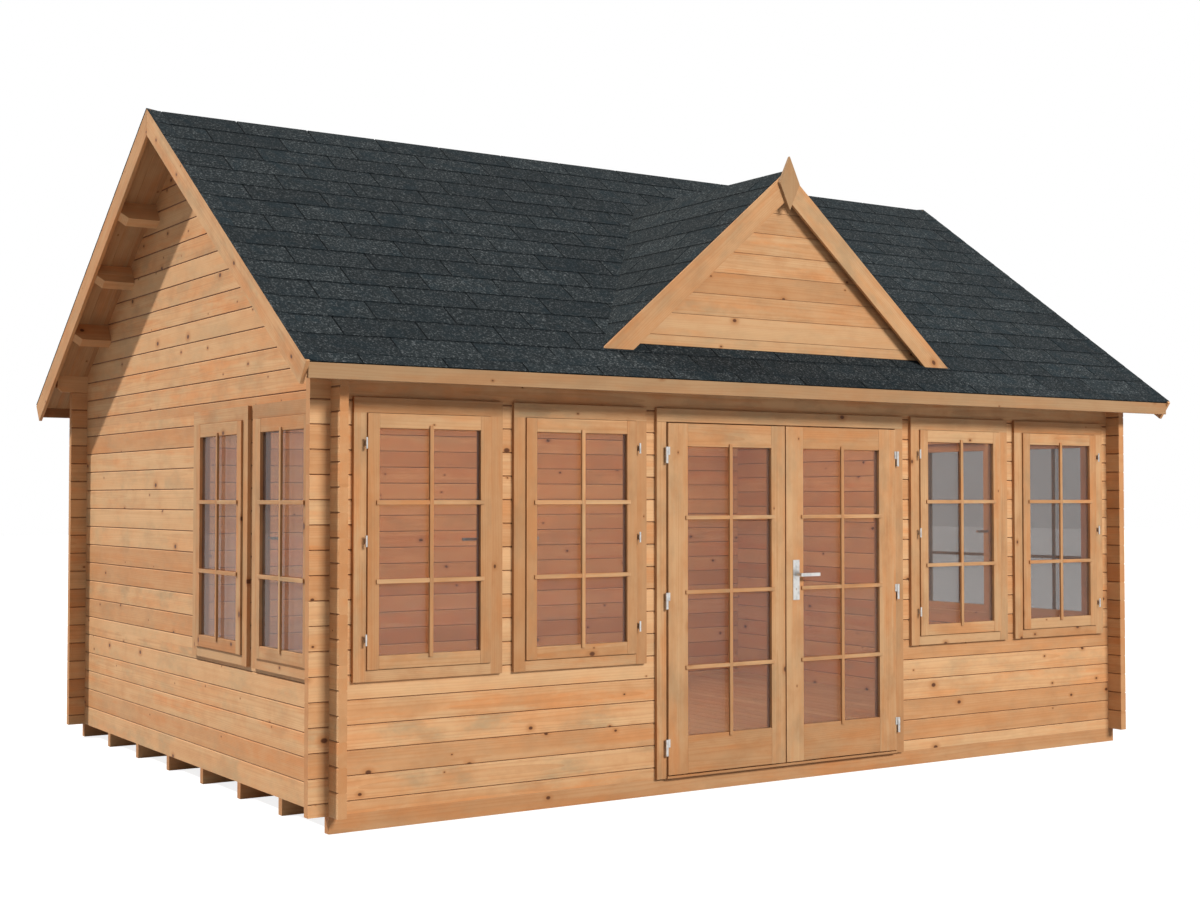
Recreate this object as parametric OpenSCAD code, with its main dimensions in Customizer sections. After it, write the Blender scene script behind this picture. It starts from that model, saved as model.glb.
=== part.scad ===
/* [Walls] */
// Outside width across the two gable walls
wall_w = 5300; // [4600:10:6400]
// Outside depth from the front wall to the back wall
wall_d = 3800; // [3600:10:4600]
// Thickness of a wall log
log_t = 44; // [40:1:56]
// Height of one log course
log_h = 114; // [110:1:130]
// Full courses of the front and back walls above their half log
wall_courses = 18; // [18:1:20]
// Full courses under the windows, above the half log
sill_courses = 5; // [4:1:7]
// Full courses up to the top of the openings, above the half log
head_courses = 16; // [16:1:17]
// How far the log ends stand out past the corner
stub = 100; // [60:5:140]
// Depth of the V groove at each course joint
groove = 5; // [2:0.5:8]

/* [Base] */
// Height of a foundation bearer
bearer_h = 82; // [60:1:120]
// Thickness of a foundation bearer
bearer_t = 44; // [40:1:70]
// Number of bearers under the floor
bearer_count = 8; // [5:1:10]
// Thickness of the floor boards
floor_t = 26; // [18:1:32]

/* [Roof] */
// Pitch of the main roof in degrees
roof_pitch = 35; // [30:0.5:40]
// Height of the eave log at its outer face
eave_log_h = 72; // [60:1:110]
// Reach of the eave log ends past the gable wall
eave_log_reach = 190; // [120:5:210]
// Thickness of the roof boards
roof_board_t = 19; // [16:1:28]
// Thickness of the roof covering with the gap under it
covering_t = 8; // [4:1:14]
// Gap between the roof boards and the covering
covering_gap = 0.2; // [0.1:0.1:1]
// Reach of the roof boards past the front and back walls
eave_overhang = 234; // [180:2:320]
// Reach of the roof boards past the gable walls
gable_overhang = 218; // [212:2:320]
// Height of the eave fascia
fascia_h = 70; // [50:1:110]
// Thickness of the eave fascia
fascia_t = 19; // [14:1:28]
// Reach of the covering past the fascia
drip = 6; // [0:1:14]
// Width of a bargeboard
barge_w = 120; // [90:1:160]
// Thickness of a bargeboard
barge_t = 19; // [14:1:28]
// How far a bargeboard stands above the covering
barge_rise = 5; // [0:1:12]
// Reach of the bargeboard foot past the front and back walls
barge_reach = 272; // [230:2:360]

/* [Purlins] */
// Purlins on each slope
purlin_count = 3; // [2:1:3]
// Width of a purlin along the slope
purlin_w = 66; // [44:1:90]
// Depth of a purlin square to the slope
purlin_d = 125; // [90:1:160]
// Distance along the slope from the ridge to the first purlin
purlin_first = 673; // [480:1:700]
// Spacing of the purlins along the slope
purlin_step = 540; // [420:1:550]
// Cut of a purlin's lower end corner
purlin_cut = 40; // [10:1:60]
// Thickness of the ridge beam
ridge_t = 44; // [36:1:80]
// Depth of the ridge beam
ridge_d = 150; // [120:1:180]

/* [Dormer] */
// Width across the feet of the dormer bargeboards
dormer_w = 2392; // [1800:4:2480]
// Pitch of the dormer roof in degrees
dormer_pitch = 40.6; // [37:0.2:42]
// Reach of the dormer bargeboards in front of the wall face
dormer_reach = 42; // [20:1:90]
// Setback of the dormer cladding behind the wall face
dormer_setback = 15; // [0:1:60]
// Thickness of the dormer cladding
cladding_t = 18; // [14:1:28]
// Thickness of the dormer roof, boards and covering together
dormer_roof_t = 27; // [20:1:40]
// Width of a dormer bargeboard
dormer_board_w = 120; // [90:1:150]
// Thickness of a dormer bargeboard
dormer_board_t = 18; // [14:1:28]
// Width of the finial
finial_w = 140; // [100:1:180]
// Height of the finial
finial_h = 296; // [200:2:360]
// Thickness of the finial
finial_t = 18; // [12:1:28]
// Drop of the finial's middle below the dormer apex
finial_drop = 74; // [50:1:120]

/* [Windows] */
// Strip of log between neighbouring casings
strip = 64; // [50:1:80]
// Lap of the casing over the logs at the sides
side_lap = 22; // [12:1:28]
// Lap of the casing over the logs at the top
head_lap = 16; // [10:1:28]
// Lap of the casing over the logs at the bottom
sill_lap = 32; // [16:1:44]
// Width of the side casing
casing_side = 64; // [56:1:76]
// Height of the top casing
casing_top = 70; // [60:1:90]
// Height of the bottom casing
casing_bottom = 52; // [48:1:70]
// How far the casings stand out from the logs
casing_proud = 20; // [12:1:26]
// How far sashes and doors stand out from the logs
sash_proud = 30; // [28:1:36]
// Thickness of a sash
sash_t = 44; // [38:1:54]
// Gap round a sash
sash_gap = 2; // [1:0.5:4]
// Cover of the frame stop behind the sash
stop_w = 14; // [8:1:20]
// Width of a sash stile
sash_stile = 58; // [50:1:70]
// Height of a sash top rail
sash_top_rail = 68; // [50:1:80]
// Height of a sash bottom rail
sash_bottom_rail = 62; // [50:1:80]
// Thickness of the sealed glass units
glass_t = 14; // [4:1:24]

/* [Doors] */
// Width of the double door across its casing
door_w = 1708; // [1440:2:1960]
// Lap of the door casing over the logs
door_lap = 22; // [12:1:28]
// Width of the door side casing
door_casing_side = 60; // [54:1:66]
// Height of the door top casing
door_casing_top = 70; // [64:1:90]
// Thickness of the door sill
door_sill_t = 12; // [8:1:20]
// Running gap round a door leaf
leaf_gap = 6; // [5.5:0.5:9]
// Gap between the two leaves
meeting_gap = 8; // [7:0.5:12]
// Shift of the meeting gap from the middle, towards the left leaf
meeting_shift = 13; // [0:1:20]
// Thickness of a door leaf
leaf_t = 44; // [38:1:50]
// Width of a leaf's hinge stile
leaf_stile = 123; // [90:1:150]
// Distance from the door's middle to the near edge of a glass opening
leaf_glass_in = 110; // [90:1:125]
// Height of a leaf's top rail
leaf_top_rail = 119; // [90:1:150]
// Height of a leaf's bottom rail
leaf_bottom_rail = 192; // [140:1:260]
// Thickness of the stop strips behind the leaves
leaf_stop_t = 14; // [8:1:20]

/* [Hardware] */
// Diameter of a hinge barrel
barrel_d = 16; // [12:1:20]
// Length of one knuckle of a door hinge
knuckle_h = 42; // [30:1:60]
// Gap between the knuckles of a door hinge
knuckle_gap = 1; // [0.5:0.5:3]
// Diameter of a hinge pin
pin_d = 8; // [5:1:9]
// Clearance round pins and spindles
pin_clear = 0.3; // [0.2:0.1:0.6]
// Distance of the door hinge axis outside the leaf edge
hinge_out = 13; // [11:1:18]
// Distance of the hinge axis in front of the leaf face
hinge_fore = 5; // [4:1:12]
// Thickness of hinge straps and handle plates
plate_t = 4; // [2:0.5:6]
// Length of a hinge strap on the leaf
strap_l = 8; // [6:1:40]
// Spacing of the door hinges
door_hinge_step = 748; // [600:2:800]
// Height of the middle door hinge above the bearers
door_hinge_mid = 908; // [850:2:950]
// Spacing of the window hinges
window_hinge_step = 450; // [380:2:500]
// Length of a window hinge barrel
window_barrel_h = 52; // [40:1:80]
// Diameter of a window hinge barrel
window_barrel_d = 11; // [8:1:14]
// Distance of a window hinge barrel outside the frame's opening
window_hinge_out = 10; // [8:1:24]
// Length of a window handle's grip
window_lever_l = 85; // [60:1:110]
// Width of a handle plate
handle_plate_w = 44; // [34:1:56]
// Height of a handle plate
handle_plate_h = 216; // [160:2:260]
// Height of the lever spindle above the bearers
lever_z = 1022; // [950:1:1100]
// Height of the lever spindle above the foot of its plate
spindle_rise = 137; // [110:1:150]
// Distance of the keyhole below the lever spindle
keyhole_drop = 79; // [60:1:90]
// Distance of the lever spindle from the door's middle
lever_x = 58; // [40:1:70]
// Diameter of the lever neck
neck_d = 18; // [14:1:22]
// Reach of the lever from the leaf face
lever_reach = 56; // [40:1:70]
// Length of the lever grip
lever_l = 125; // [90:1:140]
// Thickness of the lever grip
lever_t = 14; // [10:1:18]

/* [Hidden] */
$fn = 48;
far = 10000;
half_w = wall_w / 2;
half_d = wall_d / 2;
tan_roof = tan(roof_pitch);
cos_roof = cos(roof_pitch);
tan_dormer = tan(dormer_pitch);
cos_dormer = cos(dormer_pitch);
wall_top = course_z(wall_courses + 0.5);
open_bottom = course_z(sill_courses + 0.5);
open_top = course_z(head_courses + 0.5);
under_eave = wall_top + eave_log_h;
roof_build_up = roof_board_t + covering_t;
covering_low = roof_board_t + covering_gap;
roof_end = half_w + gable_overhang;
fascia_face = half_d + eave_overhang + fascia_t;
covering_edge = fascia_face + drip;
dormer_front = -half_d - dormer_reach;
dormer_back = dormer_front + dormer_board_t;
dormer_foot = roof_z(dormer_front, roof_build_up);
dormer_apex = dormer_foot + dormer_w / 2 * tan_dormer;
casing_head = open_top + head_lap;
casing_sill = open_bottom - sill_lap;
door_half = door_w / 2;
window_w = (half_w - log_t - door_half - 3 * strip) / 2;
frame_in_w = window_w - 2 * casing_side;
frame_in_bottom = casing_sill + casing_bottom;
frame_in_top = casing_head - casing_top;
sash_back = sash_t - sash_proud;
window_glass_y = sash_back - sash_t / 2 - glass_t / 2;
door_hole = door_half - door_lap;
door_in = door_half - door_casing_side;
door_in_top = casing_head - door_casing_top;
leaf_out = door_in - leaf_gap;
leaf_bottom = bearer_h + door_sill_t + leaf_gap;
leaf_top = door_in_top - leaf_gap;
leaf_front = -half_d - sash_proud;
leaf_back = leaf_front + leaf_t;
hinge_x = leaf_out + hinge_out;
hinge_y = leaf_front - hinge_fore;
front_window_x = [
    half_w - log_t - strip - window_w / 2,
    door_half + strip + window_w / 2
];
gable_window_y = [
    -half_d + log_t + strip + window_w / 2,
    -half_d + log_t + strip * 2 + window_w * 1.5
];
window_places = concat(
    [for (sx = [-1, 1]) for (i = [0, 1])
        [sx * front_window_x[i], -half_d, 0, i == 0 ? sx : -sx]],
    [for (i = [0, 1]) [-half_w, gable_window_y[i], -90, i == 0 ? 1 : 0]],
    [for (i = [0, 1]) [half_w, gable_window_y[i], 90, i == 0 ? -1 : 0]]
);
window_hole_half = window_w / 2 - side_lap;
door_hinge_z = [for (i = [-1, 0, 1]) bearer_h + door_hinge_mid + i * door_hinge_step];

// Height of the log base plus n courses
function course_z(n) = bearer_h + n * log_h;

// Height at depth y of the plane that lies lift above the top of the rafters' logs, square to the slope
function roof_z(y, lift) = under_eave + (half_d - abs(y)) * tan_roof + lift / cos_roof;

// Height at x of the plane that lies lift below the dormer roof's top, square to its slope
function dormer_z(x, lift) = dormer_apex - abs(x) * tan_dormer - lift / cos_dormer;

// A flat shape in Y and Z, drawn out along X
module along_x(x0, x1) {
    translate([x0, 0, 0]) rotate([90, 0, 90]) linear_extrude(x1 - x0) children();
}

// A flat shape in X and Z, drawn out along Y
module along_y(y0, y1) {
    translate([0, y1, 0]) rotate([90, 0, 0]) linear_extrude(y1 - y0) children();
}

// A box from its low corner to its high corner
module block(low, high) {
    translate(low) cube(high - low);
}

// Section of a stack of logs with a V groove at each course joint
module log_stack(face, z0, z1, phase) {
    joints = [for (n = [1 - phase : wall_courses * 2]) course_z(n)];
    difference() {
        translate([face, z0]) square([log_t, z1 - z0]);
        for (z = joints) if (z >= z0 && z <= z1)
            for (side = [0, log_t]) translate([face + side, z])
                rotate(45) square(groove * sqrt(2), center = true);
    }
}

// The corner columns where the logs of two walls cross
module corner_columns(z0, z1) {
    for (sx = [-1, 1]) for (sy = [-1, 1])
        translate([sx * (half_w - log_t / 2) - log_t / 2, sy * (half_d - log_t / 2) - log_t / 2, z0])
            cube([log_t, log_t, z1 - z0]);
}

// Notches in the front and back walls that take the middles of the gable logs
module long_wall_notches() {
    for (n = [0 : wall_courses]) corner_columns(course_z(n + 0.25), course_z(n + 0.75));
}

// Notches in the gable walls that take the middles of the front and back logs
module gable_wall_notches() {
    corner_columns(bearer_h, course_z(0.25));
    for (n = [1 : wall_courses]) corner_columns(course_z(n - 0.25), course_z(n + 0.25));
    corner_columns(course_z(wall_courses + 0.75), under_eave + far);
}

// Logs along X with their inner corner notches
module long_logs(face, x0, x1, z0, z1) {
    difference() {
        along_x(x0, x1) log_stack(face, z0, z1, 0.5);
        long_wall_notches();
    }
}

// Logs along Y with their corner notches, cut to the slope of the roof
module gable_logs(face, y0, y1, z0, z1) {
    difference() {
        intersection() {
            along_y(y0, y1) log_stack(face, z0, z1, 0);
            along_x(-far, far) under_roof(0);
        }
        gable_wall_notches();
    }
}

// Everything under the roof plane that lies lift above the purlins
module under_roof(lift) {
    polygon([
        [-far, -far], [far, -far], [far, roof_z(far, lift)], [0, roof_z(0, lift)], [-far, roof_z(far, lift)]
    ]);
}

// A slab of one roof slope, from the ridge down to a plumb cut at reach
module slope_slab(low, high, reach) {
    polygon([[0, roof_z(0, low)], [0, roof_z(0, high)], [reach, roof_z(reach, high)], [reach, roof_z(reach, low)]]);
}

module foundation_bearers() {
    step = (wall_d - bearer_t) / (bearer_count - 1);
    color("burlywood") for (i = [0 : bearer_count - 1])
        translate([-half_w, -half_d + i * step, 0]) cube([wall_w, bearer_t, bearer_h]);
}

module floor_boards() {
    inner_w = half_w - log_t;
    inner_d = half_d - log_t;
    color("tan") block([-inner_w, -inner_d, bearer_h], [inner_w, inner_d, bearer_h + floor_t]);
}

module front_wall_lower() {
    color("burlywood") for (side = [0, 1]) mirror([side, 0, 0])
        long_logs(-half_d, -half_w - stub, -door_hole, bearer_h, open_bottom);
}

module front_wall_piers() {
    edges = [
        half_w + stub,
        front_window_x[0] + window_hole_half, front_window_x[0] - window_hole_half,
        front_window_x[1] + window_hole_half, front_window_x[1] - window_hole_half,
        door_hole
    ];
    color("burlywood") for (side = [0, 1]) mirror([side, 0, 0]) for (i = [0, 2, 4])
        long_logs(-half_d, -edges[i], -edges[i + 1], open_bottom, open_top);
}

module front_wall_upper() {
    color("burlywood") long_logs(-half_d, -half_w - stub, half_w + stub, open_top, wall_top);
}

module back_wall() {
    color("burlywood") long_logs(half_d - log_t, -half_w - stub, half_w + stub, bearer_h, wall_top);
}

module gable_lower(face) {
    gable_logs(face, -half_d - stub, half_d + stub, bearer_h, open_bottom);
}

module gable_piers(face) {
    edges = [
        -half_d - stub,
        gable_window_y[0] - window_hole_half, gable_window_y[0] + window_hole_half,
        gable_window_y[1] - window_hole_half, gable_window_y[1] + window_hole_half,
        half_d + stub
    ];
    for (i = [0, 2, 4]) gable_logs(face, edges[i], edges[i + 1], open_bottom, open_top);
}

module gable_upper(face) {
    difference() {
        gable_logs(face, -half_d - stub, half_d + stub, open_top, roof_z(0, 0));
        slope_bars(0, log_t);
        ridge_bar(0, log_t);
    }
}

module left_gable_lower() { color("burlywood") gable_lower(-half_w); }
module left_gable_piers() { color("burlywood") gable_piers(-half_w); }
module left_gable_upper() { color("burlywood") gable_upper(-half_w); }
module right_gable_lower() { color("burlywood") gable_lower(half_w - log_t); }
module right_gable_piers() { color("burlywood") gable_piers(half_w - log_t); }
module right_gable_upper() { color("burlywood") gable_upper(half_w - log_t); }

// Section of an eave log, its top cut to the roof slope
module eave_section() {
    intersection() {
        translate([half_d - log_t, wall_top]) square([log_t, eave_log_h + log_t]);
        under_roof(0);
    }
}

module eave_logs() {
    reach = half_w + eave_log_reach;
    color("burlywood") for (side = [0, 1]) mirror([0, side, 0]) difference() {
        along_x(-reach, reach) eave_section();
        long_wall_notches();
        for (end = [0, 1]) mirror([end, 0, 0])
            translate([reach, half_d - log_t / 2, wall_top]) rotate([0, 45, 0])
                cube([purlin_cut, log_t * 2, purlin_cut], center = true);
    }
}

// Purlins down both slopes, their lower end corners cut by end_cut, their tops over above the roof line
module slope_bars(end_cut, over) {
    for (side = [0, 1]) mirror([0, side, 0]) for (i = [0 : purlin_count - 1])
        translate([0, 0, roof_z(0, 0)]) rotate([-roof_pitch, 0, 0])
            translate([0, purlin_first + i * purlin_step, -purlin_d])
                bar(purlin_w, purlin_d + over, end_cut);
}

// The ridge beam as a plain bar, its top over above the roof's peak
module ridge_bar(end_cut, over) {
    translate([0, -ridge_t / 2, roof_z(0, 0) - ridge_d]) bar(ridge_t, ridge_d + over, end_cut);
}

// A bar along X between the bargeboards, its lower end corners cut off
module bar(width, depth, end_cut) {
    translate([0, width, 0]) rotate([90, 0, 0]) linear_extrude(width) polygon([
        [-roof_end + end_cut, 0], [roof_end - end_cut, 0], [roof_end, end_cut],
        [roof_end, depth], [-roof_end, depth], [-roof_end, end_cut]
    ]);
}

module purlins() {
    color("peru") {
        slope_bars(purlin_cut, 0);
        intersection() {
            ridge_bar(purlin_cut, 0);
            along_x(-far, far) under_roof(0);
        }
    }
}

module roof_boards_front() {
    color("tan") along_x(-roof_end, roof_end) slope_slab(0, roof_board_t, -half_d - eave_overhang);
}

module roof_boards_rear() {
    color("tan") along_x(-roof_end, roof_end) slope_slab(0, roof_board_t, half_d + eave_overhang);
}

module roof_covering_front() {
    color("dimgray") along_x(-roof_end, roof_end) slope_slab(covering_low, roof_build_up, -covering_edge);
}

module roof_covering_rear() {
    color("dimgray") along_x(-roof_end, roof_end) slope_slab(covering_low, roof_build_up, covering_edge);
}

// One bargeboard on the slope that falls towards +Y, mitred at the ridge and cut square at its foot
module bargeboard_section() {
    top = roof_build_up + barge_rise;
    foot = (half_d + barge_reach) / cos_roof;
    intersection() {
        translate([0, roof_z(0, top)]) rotate(-roof_pitch)
            translate([-barge_w, -barge_w]) square([foot + barge_w, barge_w]);
        translate([0, -far]) square([far, 2 * far]);
    }
}

module bargeboards() {
    for (side = [0, 1]) mirror([side, 0, 0]) along_x(roof_end, roof_end + barge_t) bargeboard_section();
}

module front_bargeboards() { color("burlywood") mirror([0, 1, 0]) bargeboards(); }
module rear_bargeboards() { color("burlywood") bargeboards(); }

module eave_fascias() {
    top = roof_z(fascia_face, roof_board_t);
    color("burlywood") for (side = [0, 1]) mirror([0, side, 0]) along_x(-roof_end, roof_end)
        intersection() {
            translate([fascia_face - fascia_t, top - fascia_h]) square([fascia_t, fascia_h * 2]);
            under_roof(roof_board_t);
        }
}

// What stands on the main roof covering
module above_roof() {
    difference() {
        children();
        along_x(-far, far) under_roof(roof_build_up);
    }
}

// Outline under the dormer roof's plane that lies lift below its top
module under_dormer(lift) {
    polygon([[-far, -far], [far, -far], [far, dormer_z(far, lift)], [0, dormer_z(0, lift)], [-far, dormer_z(far, lift)]]);
}

// A strip of the right dormer slope, between two depths below its top
module dormer_strip(high, low) {
    reach = dormer_w / 2;
    polygon([
        [0, dormer_z(0, high)], [reach * 2, dormer_z(reach * 2, high)],
        [reach * 2, dormer_z(reach * 2, low)], [0, dormer_z(0, low)]
    ]);
}

module dormer_cladding() {
    face = -half_d + dormer_setback;
    color("burlywood") above_roof() along_y(face, face + cladding_t) intersection() {
        under_dormer(dormer_roof_t);
        translate([-far, 0]) square([2 * far, far]);
    }
}

module dormer_slope() {
    above_roof() along_y(dormer_back, 0) dormer_strip(0, dormer_roof_t);
}

module dormer_roof_left() { color("dimgray") mirror([1, 0, 0]) dormer_slope(); }
module dormer_roof_right() { color("dimgray") dormer_slope(); }

module dormer_bargeboard() {
    above_roof() along_y(dormer_front, dormer_back) dormer_strip(0, dormer_board_w);
}

module dormer_bargeboard_left() { color("burlywood") mirror([1, 0, 0]) dormer_bargeboard(); }
module dormer_bargeboard_right() { color("burlywood") dormer_bargeboard(); }

module dormer_finial() {
    middle = dormer_apex - finial_drop;
    color("burlywood") along_y(dormer_front - finial_t, dormer_front) polygon([
        [0, middle + finial_h / 2], [finial_w / 2, middle], [0, middle - finial_h / 2], [-finial_w / 2, middle]
    ]);
}

// Puts a window piece at each place, turned outwards
module at_windows() {
    for (p = window_places) translate([p[0], p[1], 0]) rotate([0, 0, p[2]]) children();
}

// Puts a piece at each window that has hinges, handed to its hinge side
module at_casements() {
    for (p = window_places) if (p[3] != 0) translate([p[0], p[1], 0]) rotate([0, 0, p[2]])
        mirror([p[3] > 0 ? 1 : 0, 0, 0]) children();
}

// A ring that fills from its outer half width and heights in to its inner ones, between two depths
module ring(outer, outer_z, inner, inner_z, y0, y1) {
    difference() {
        block([-outer, y0, outer_z[0]], [outer, y1, outer_z[1]]);
        block([-inner, y0 - far, inner_z[0]], [inner, y1 + far, inner_z[1]]);
    }
}

module window_frame() {
    inner = frame_in_w / 2;
    inner_z = [frame_in_bottom, frame_in_top];
    stop_z = [frame_in_bottom + stop_w, frame_in_top - stop_w];
    union() {
        ring(window_w / 2, [casing_sill, casing_head], inner, inner_z, -casing_proud, 0);
        ring(window_hole_half, [open_bottom, open_top], inner, inner_z, 0, sash_back);
        ring(window_hole_half, [open_bottom, open_top], inner - stop_w, stop_z, sash_back, log_t);
    }
}

module window_sash() {
    outer = frame_in_w / 2 - sash_gap;
    outer_z = [frame_in_bottom + sash_gap, frame_in_top - sash_gap];
    ring(outer, outer_z, outer - sash_stile, pane_z(), -sash_proud, sash_back);
}

// Lower and upper edge of a window's glass
function pane_z() = [
    frame_in_bottom + sash_gap + sash_bottom_rail,
    frame_in_top - sash_gap - sash_top_rail
];

module window_pane() {
    half = frame_in_w / 2 - sash_gap - sash_stile;
    block([-half, window_glass_y, pane_z()[0]], [half, window_glass_y + glass_t, pane_z()[1]]);
}

module window_hinge_row() {
    middle = (frame_in_bottom + frame_in_top) / 2;
    axis = sash_proud - casing_proud + window_barrel_d;
    for (i = [-1, 0, 1]) translate([
        -frame_in_w / 2 - window_hinge_out, -casing_proud, middle + i * window_hinge_step
    ]) {
        translate([0, -axis, 0]) cylinder(d = window_barrel_d, h = window_barrel_h, center = true);
        block([-plate_t / 2, -axis, -window_barrel_h / 4], [plate_t / 2, 0, window_barrel_h / 4]);
    }
}

module window_handle() {
    x = frame_in_w / 2 - sash_gap - sash_stile / 2;
    middle = (frame_in_bottom + frame_in_top) / 2;
    plate = handle_plate_w / 4;
    translate([x, sash_back, middle]) {
        block([-plate, 0, -handle_plate_w], [plate, plate_t, handle_plate_w]);
        rotate([-90, 0, 0]) cylinder(d = lever_t, h = handle_plate_w);
        block([-window_lever_l, handle_plate_w - lever_t, -lever_t / 2], [lever_t / 2, handle_plate_w, lever_t / 2]);
    }
}

module window_frames() { color("peru") at_windows() window_frame(); }
module window_sashes() { color("burlywood") at_windows() window_sash(); }
module window_glass() { color("lightsteelblue") at_windows() window_pane(); }
module window_hinges() { color("silver") at_casements() window_hinge_row(); }
module window_handles() { color("silver") at_casements() window_handle(); }

module door_jambs() {
    color("peru") for (side = [0, 1]) mirror([side, 0, 0]) {
        block([door_in, -half_d - casing_proud, bearer_h], [door_half, -half_d, door_in_top]);
        block([door_in, -half_d, bearer_h], [door_hole, -half_d + log_t, open_top]);
    }
}

module door_head() {
    color("peru") union() {
        block([-door_half, -half_d - casing_proud, door_in_top], [door_half, -half_d, casing_head]);
        block([-door_in, -half_d, door_in_top], [door_in, -half_d + log_t, open_top]);
    }
}

module door_sill() {
    color("peru") block([-door_in, leaf_front, bearer_h], [door_in, -half_d + log_t, bearer_h + door_sill_t]);
}

module door_stops() {
    y0 = leaf_back + leaf_gap;
    y1 = -half_d + log_t;
    edge = door_in - leaf_stop_t;
    color("peru") {
        for (side = [0, 1]) mirror([side, 0, 0])
            block([edge, y0, bearer_h + door_sill_t], [door_in, y1, door_in_top]);
        block([-edge + sash_gap, y0, door_in_top - leaf_stop_t], [edge - sash_gap, y1, door_in_top]);
    }
}

// Lower knuckles with their pins, each on a foot that stands on the casing
module door_hinge_pins() {
    color("silver") for (side = [0, 1]) mirror([side, 0, 0]) for (z = door_hinge_z)
        translate([hinge_x, hinge_y, z]) {
            translate([0, 0, -knuckle_h]) cylinder(d = barrel_d, h = knuckle_h - knuckle_gap / 2);
            translate([0, 0, -knuckle_h]) cylinder(d = pin_d, h = knuckle_h * 2 - knuckle_gap * 4);
            block([-plate_t, 0, -knuckle_h], [plate_t, -half_d - casing_proud - hinge_y, -knuckle_gap]);
        }
}

// Upper knuckles over the pins, each with a strap on the face of the right leaf
module door_hinges() {
    color("silver") for (z = door_hinge_z) translate([hinge_x, hinge_y, z]) difference() {
        union() {
            translate([0, 0, knuckle_gap / 2]) cylinder(d = barrel_d, h = knuckle_h - knuckle_gap / 2);
            block([-hinge_out - strap_l, hinge_fore - plate_t, knuckle_gap], [0, hinge_fore, knuckle_h]);
        }
        translate([0, 0, -knuckle_gap]) cylinder(d = pin_d + 2 * pin_clear, h = knuckle_h - knuckle_gap);
    }
}

// A leaf from its meeting edge to its hinge edge, open for the glass
module leaf(meeting) {
    difference() {
        block([meeting, leaf_front, leaf_bottom], [leaf_out, leaf_back, leaf_top]);
        block(
            [leaf_glass_in, leaf_front - far, leaf_bottom + leaf_bottom_rail],
            [leaf_out - leaf_stile, leaf_back + far, leaf_top - leaf_top_rail]
        );
    }
}

module leaf_glass() {
    y0 = (leaf_front + leaf_back - glass_t) / 2;
    block(
        [leaf_glass_in, y0, leaf_bottom + leaf_bottom_rail],
        [leaf_out - leaf_stile, y0 + glass_t, leaf_top - leaf_top_rail]
    );
}

// A cylinder along Y on the lever's axis
module on_lever_axis(d, y0, y1) {
    translate([lever_x, y0, bearer_h + lever_z]) rotate([-90, 0, 0]) cylinder(d = d, h = y1 - y0);
}

module left_door_leaf() { color("burlywood") mirror([1, 0, 0]) leaf(meeting_shift + meeting_gap / 2); }
module left_door_glass() { color("lightsteelblue") mirror([1, 0, 0]) leaf_glass(); }
module left_door_hinges() { mirror([1, 0, 0]) door_hinges(); }
module right_door_glass() { color("lightsteelblue") leaf_glass(); }
module right_door_hinges() { door_hinges(); }

module right_door_leaf() {
    color("burlywood") difference() {
        leaf(-meeting_shift + meeting_gap / 2);
        on_lever_axis(pin_d + 2 * pin_clear, leaf_front - far, leaf_back + far);
    }
}

module door_handle_plates() {
    bottom = bearer_h + lever_z - spindle_rise;
    color("silver") for (y = [leaf_front - plate_t, leaf_back]) difference() {
        block(
            [lever_x - handle_plate_w / 2, y, bottom],
            [lever_x + handle_plate_w / 2, y + plate_t, bottom + handle_plate_h]
        );
        on_lever_axis(neck_d + 2 * pin_clear, y - plate_t, y + 2 * plate_t);
        translate([lever_x, y - plate_t, bearer_h + lever_z - keyhole_drop]) rotate([-90, 0, 0])
            cylinder(d = pin_d, h = 3 * plate_t);
    }
}

// Lever handles on both faces of the right leaf, joined by their spindle
module door_lever() {
    color("silver") union() {
        on_lever_axis(pin_d, leaf_front - lever_reach, leaf_back + lever_reach);
        on_lever_axis(neck_d, leaf_front - lever_reach, leaf_front - pin_clear);
        on_lever_axis(neck_d, leaf_back + pin_clear, leaf_back + lever_reach);
        for (y = [leaf_front - lever_reach, leaf_back + lever_reach - lever_t])
            translate([lever_x, y, bearer_h + lever_z - neck_d / 2]) cube([lever_l, lever_t, neck_d]);
    }
}

foundation_bearers();
floor_boards();
front_wall_lower();
front_wall_piers();
front_wall_upper();
back_wall();
left_gable_lower();
left_gable_piers();
left_gable_upper();
right_gable_lower();
right_gable_piers();
right_gable_upper();
eave_logs();
purlins();
roof_boards_front();
roof_boards_rear();
roof_covering_front();
roof_covering_rear();
front_bargeboards();
rear_bargeboards();
eave_fascias();
dormer_cladding();
dormer_roof_left();
dormer_roof_right();
dormer_bargeboard_left();
dormer_bargeboard_right();
dormer_finial();
window_frames();
window_sashes();
window_glass();
window_hinges();
window_handles();
door_jambs();
door_head();
door_sill();
door_stops();
door_hinge_pins();
left_door_leaf();
left_door_glass();
left_door_hinges();
right_door_leaf();
right_door_glass();
right_door_hinges();
door_handle_plates();
door_lever();
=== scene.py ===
import logging
import math
import random
from dataclasses import dataclass, replace
from enum import Enum
from typing import Iterable, Sequence

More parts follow.
